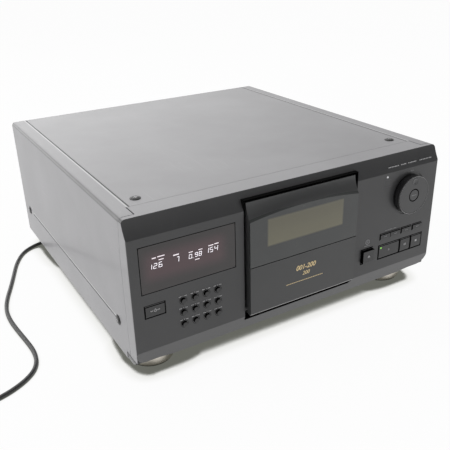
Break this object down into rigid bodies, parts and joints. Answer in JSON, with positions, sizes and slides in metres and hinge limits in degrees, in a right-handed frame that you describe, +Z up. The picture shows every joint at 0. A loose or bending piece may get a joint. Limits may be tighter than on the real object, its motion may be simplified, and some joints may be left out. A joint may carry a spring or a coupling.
{
  "type": "carousel disc changer",
  "caption": "Black hi-fi cabinet with drop-down front door, display, jog dial and keys, and a slotted carousel turning round a disc player.",
  "frame": {"origin": "on the surface that the feet stand on, under the middle of the cabinet's box, the mains lead left out", "axes": "+X to the right of someone facing the front, +Y to the back, +Z up"},
  "size_m": [0.6531, 0.5435, 0.1976],
  "materials": {
    "cover_paint": "satin charcoal enamel, finely grained",
    "chassis_steel": "zinc plated sheet",
    "panel_plastic": "fine matt black moulding",
    "foot_metal": "champagne satin",
    "pad_rubber": "dull",
    "screw_black": "black oxide",
    "lens_smoke": "smoked acrylic",
    "tube_glass": "dark display glass",
    "board_green": "solder resist",
    "board_black": "black moulding",
    "lamp_white": "frosted",
    "lamp_green": "lit green",
    "door_plastic": "fine matt black moulding",
    "window_plate": "smoked polished acrylic",
    "gear_plastic": "natural acetal",
    "table_plastic": "black moulding",
    "motor_can": "plated",
    "player_steel": "plated",
    "jack_plastic": "black",
    "transformer_iron": "varnished laminations",
    "cord_pvc": "smooth",
    "blade_brass": "plated",
    "dial_plastic": "semi gloss",
    "key_plastic": "satin black"
  },
  "bodies": {
    "cabinet": {"base_chassis": "chassis_steel", "control_boards": "board_green", "cord_bush": "cord_pvc", "cord_coil": "cord_pvc", "cover_screws": "screw_black", "damper_housing": "gear_plastic", "display_lens": "lens_smoke", "display_tube": "tube_glass", "feet": "foot_metal", "foot_pads": "pad_rubber", "front_frame": "chassis_steel", "front_panel": "panel_plastic", "guide_rods": "player_steel", "main_board": "board_green", "player_frame": "player_steel", "plug_blades": "blade_brass", "plug_body": "cord_pvc", "power_cord": "cord_pvc", "rear_jacks": "jack_plastic", "rear_panel": "chassis_steel", "spindle_motor": "motor_can", "status_lamp": "lamp_white", "table_glides": "gear_plastic", "table_motor": "motor_can", "top_cover": "cover_paint", "transformer": "transformer_iron"},
    "door": {"door": "door_plastic", "door_window": "window_plate"},
    "damper": {"damper_gear": "gear_plastic"},
    "dial": {"jog_dial": "dial_plastic"},
    "dial_push": {"jog_push": "dial_plastic"},
    "carousel": {"carousel_table": "table_plastic", "disc_comb": "table_plastic"},
    "drive": {"drive_gear": "gear_plastic"},
    "spindle": {"disc_spindle": "gear_plastic"},
    "sled": {"pickup_sled": "board_black"},
    "clamp": {"clamp_arm": "player_steel"},
    "lever": {"loading_lever": "gear_plastic"},
    "key_01_cap": {"key_01": "key_plastic"},
    "key_02_cap": {"key_02": "key_plastic"},
    "key_03_cap": {"key_03": "key_plastic"},
    "key_04_cap": {"key_04": "key_plastic"},
    "key_05_cap": {"key_05": "key_plastic"},
    "key_06_cap": {"key_06": "key_plastic"},
    "key_07_cap": {"key_07": "key_plastic"},
    "key_08_cap": {"key_08": "key_plastic"},
    "key_09_cap": {"key_09": "key_plastic"},
    "key_10_cap": {"key_10": "key_plastic"},
    "key_11_cap": {"key_11": "key_plastic"},
    "key_12_cap": {"key_12": "key_plastic"},
    "power_key_cap": {"power_key": "key_plastic"},
    "mode_key_1_cap": {"mode_key_1": "key_plastic"},
    "mode_key_2_cap": {"mode_key_2": "key_plastic"},
    "mode_key_3_cap": {"mode_key_3": "key_plastic"},
    "mode_key_4_cap": {"mode_key_4": "key_plastic"},
    "play_key_cap": {"play_key": "key_plastic", "play_lamp": "lamp_green"},
    "pause_key_cap": {"pause_key": "key_plastic"},
    "stop_key_cap": {"stop_key": "key_plastic"},
    "open_key_cap": {"open_key": "key_plastic"}
  },
  "joints": [
    {"name": "door_hinge", "type": "hinge", "parent": "cabinet", "child": "door", "pos_m": [0, -0.2185, 0.053], "axis": [1, 0, 0], "range_deg": [0, 78.75]},
    {"name": "damper_spin", "type": "hinge", "parent": "cabinet", "child": "damper", "pos_m": [0.0705, -0.20795, 0.07127], "axis": [1, 0, 0], "range_deg": [-253, 1]},
    {"name": "dial_spin", "type": "hinge", "parent": "cabinet", "child": "dial", "pos_m": [0.1675, -0.2215, 0.1415], "axis": [0, -1, 0], "continuous": true},
    {"name": "dial_push_travel", "type": "slide", "parent": "cabinet", "child": "dial_push", "axis": [0, 1, 0], "range_m": [0, 0.0008], "stiffness_N_per_m": 500, "springref_m": -0.0008},
    {"name": "carousel_spin", "type": "hinge", "parent": "cabinet", "child": "carousel", "pos_m": [0, 0.0135, 0.034], "axis": [0, 0, 1], "continuous": true},
    {"name": "drive_spin", "type": "hinge", "parent": "cabinet", "child": "drive", "pos_m": [0.15592, 0.16942, 0.032], "axis": [0, 0, 1], "continuous": true},
    {"name": "disc_spin", "type": "hinge", "parent": "cabinet", "child": "spindle", "pos_m": [0.003, 0.0135, 0.104], "axis": [1, 0, 0], "continuous": true},
    {"name": "sled_travel", "type": "slide", "parent": "cabinet", "child": "sled", "axis": [0, 1, 0], "range_m": [0, 0.03]},
    {"name": "clamp_swing", "type": "hinge", "parent": "cabinet", "child": "clamp", "pos_m": [-0.018, 0.0635, 0.12], "axis": [0, 0, 1], "range_deg": [-18, 0]},
    {"name": "lever_swing", "type": "hinge", "parent": "cabinet", "child": "lever", "pos_m": [0.015, -0.0165, 0.0425], "axis": [1, 0, 0], "range_deg": [-20, 0]},
    {"name": "key_01_travel", "type": "slide", "parent": "cabinet", "child": "key_01_cap", "axis": [0, 1, 0], "range_m": [0, 0.0008], "stiffness_N_per_m": 500, "springref_m": -0.0008},
    {"name": "key_02_travel", "type": "slide", "parent": "cabinet", "child": "key_02_cap", "axis": [0, 1, 0], "range_m": [0, 0.0008], "stiffness_N_per_m": 500, "springref_m": -0.0008},
    {"name": "key_03_travel", "type": "slide", "parent": "cabinet", "child": "key_03_cap", "axis": [0, 1, 0], "range_m": [0, 0.0008], "stiffness_N_per_m": 500, "springref_m": -0.0008},
    {"name": "key_04_travel", "type": "slide", "parent": "cabinet", "child": "key_04_cap", "axis": [0, 1, 0], "range_m": [0, 0.0008], "stiffness_N_per_m": 500, "springref_m": -0.0008},
    {"name": "key_05_travel", "type": "slide", "parent": "cabinet", "child": "key_05_cap", "axis": [0, 1, 0], "range_m": [0, 0.0008], "stiffness_N_per_m": 500, "springref_m": -0.0008},
    {"name": "key_06_travel", "type": "slide", "parent": "cabinet", "child": "key_06_cap", "axis": [0, 1, 0], "range_m": [0, 0.0008], "stiffness_N_per_m": 500, "springref_m": -0.0008},
    {"name": "key_07_travel", "type": "slide", "parent": "cabinet", "child": "key_07_cap", "axis": [0, 1, 0], "range_m": [0, 0.0008], "stiffness_N_per_m": 500, "springref_m": -0.0008},
    {"name": "key_08_travel", "type": "slide", "parent": "cabinet", "child": "key_08_cap", "axis": [0, 1, 0], "range_m": [0, 0.0008], "stiffness_N_per_m": 500, "springref_m": -0.0008},
    {"name": "key_09_travel", "type": "slide", "parent": "cabinet", "child": "key_09_cap", "axis": [0, 1, 0], "range_m": [0, 0.0008], "stiffness_N_per_m": 500, "springref_m": -0.0008},
    {"name": "key_10_travel", "type": "slide", "parent": "cabinet", "child": "key_10_cap", "axis": [0, 1, 0], "range_m": [0, 0.0008], "stiffness_N_per_m": 500, "springref_m": -0.0008},
    {"name": "key_11_travel", "type": "slide", "parent": "cabinet", "child": "key_11_cap", "axis": [0, 1, 0], "range_m": [0, 0.0008], "stiffness_N_per_m": 500, "springref_m": -0.0008},
    {"name": "key_12_travel", "type": "slide", "parent": "cabinet", "child": "key_12_cap", "axis": [0, 1, 0], "range_m": [0, 0.0008], "stiffness_N_per_m": 500, "springref_m": -0.0008},
    {"name": "power_key_travel", "type": "slide", "parent": "cabinet", "child": "power_key_cap", "axis": [0, 1, 0], "range_m": [0, 0.0008], "stiffness_N_per_m": 500, "springref_m": -0.0008},
    {"name": "mode_key_1_travel", "type": "slide", "parent": "cabinet", "child": "mode_key_1_cap", "axis": [0, 1, 0], "range_m": [0, 0.0008], "stiffness_N_per_m": 500, "springref_m": -0.0008},
    {"name": "mode_key_2_travel", "type": "slide", "parent": "cabinet", "child": "mode_key_2_cap", "axis": [0, 1, 0], "range_m": [0, 0.0008], "stiffness_N_per_m": 500, "springref_m": -0.0008},
    {"name": "mode_key_3_travel", "type": "slide", "parent": "cabinet", "child": "mode_key_3_cap", "axis": [0, 1, 0], "range_m": [0, 0.0008], "stiffness_N_per_m": 500, "springref_m": -0.0008},
    {"name": "mode_key_4_travel", "type": "slide", "parent": "cabinet", "child": "mode_key_4_cap", "axis": [0, 1, 0], "range_m": [0, 0.0008], "stiffness_N_per_m": 500, "springref_m": -0.0008},
    {"name": "play_key_travel", "type": "slide", "parent": "cabinet", "child": "play_key_cap", "axis": [0, 1, 0], "range_m": [0, 0.0008], "stiffness_N_per_m": 500, "springref_m": -0.0008},
    {"name": "pause_key_travel", "type": "slide", "parent": "cabinet", "child": "pause_key_cap", "axis": [0, 1, 0], "range_m": [0, 0.0008], "stiffness_N_per_m": 500, "springref_m": -0.0008},
    {"name": "stop_key_travel", "type": "slide", "parent": "cabinet", "child": "stop_key_cap", "axis": [0, 1, 0], "range_m": [0, 0.0008], "stiffness_N_per_m": 500, "springref_m": -0.0008},
    {"name": "open_key_travel", "type": "slide", "parent": "cabinet", "child": "open_key_cap", "axis": [0, 1, 0], "range_m": [0, 0.0008], "stiffness_N_per_m": 500, "springref_m": -0.0008}
  ],
  "couplings": [
    {"joint": "damper_spin", "follows": "door_hinge", "ratio": -3.2},
    {"joint": "drive_spin", "follows": "carousel_spin", "ratio": -8}
  ]
}
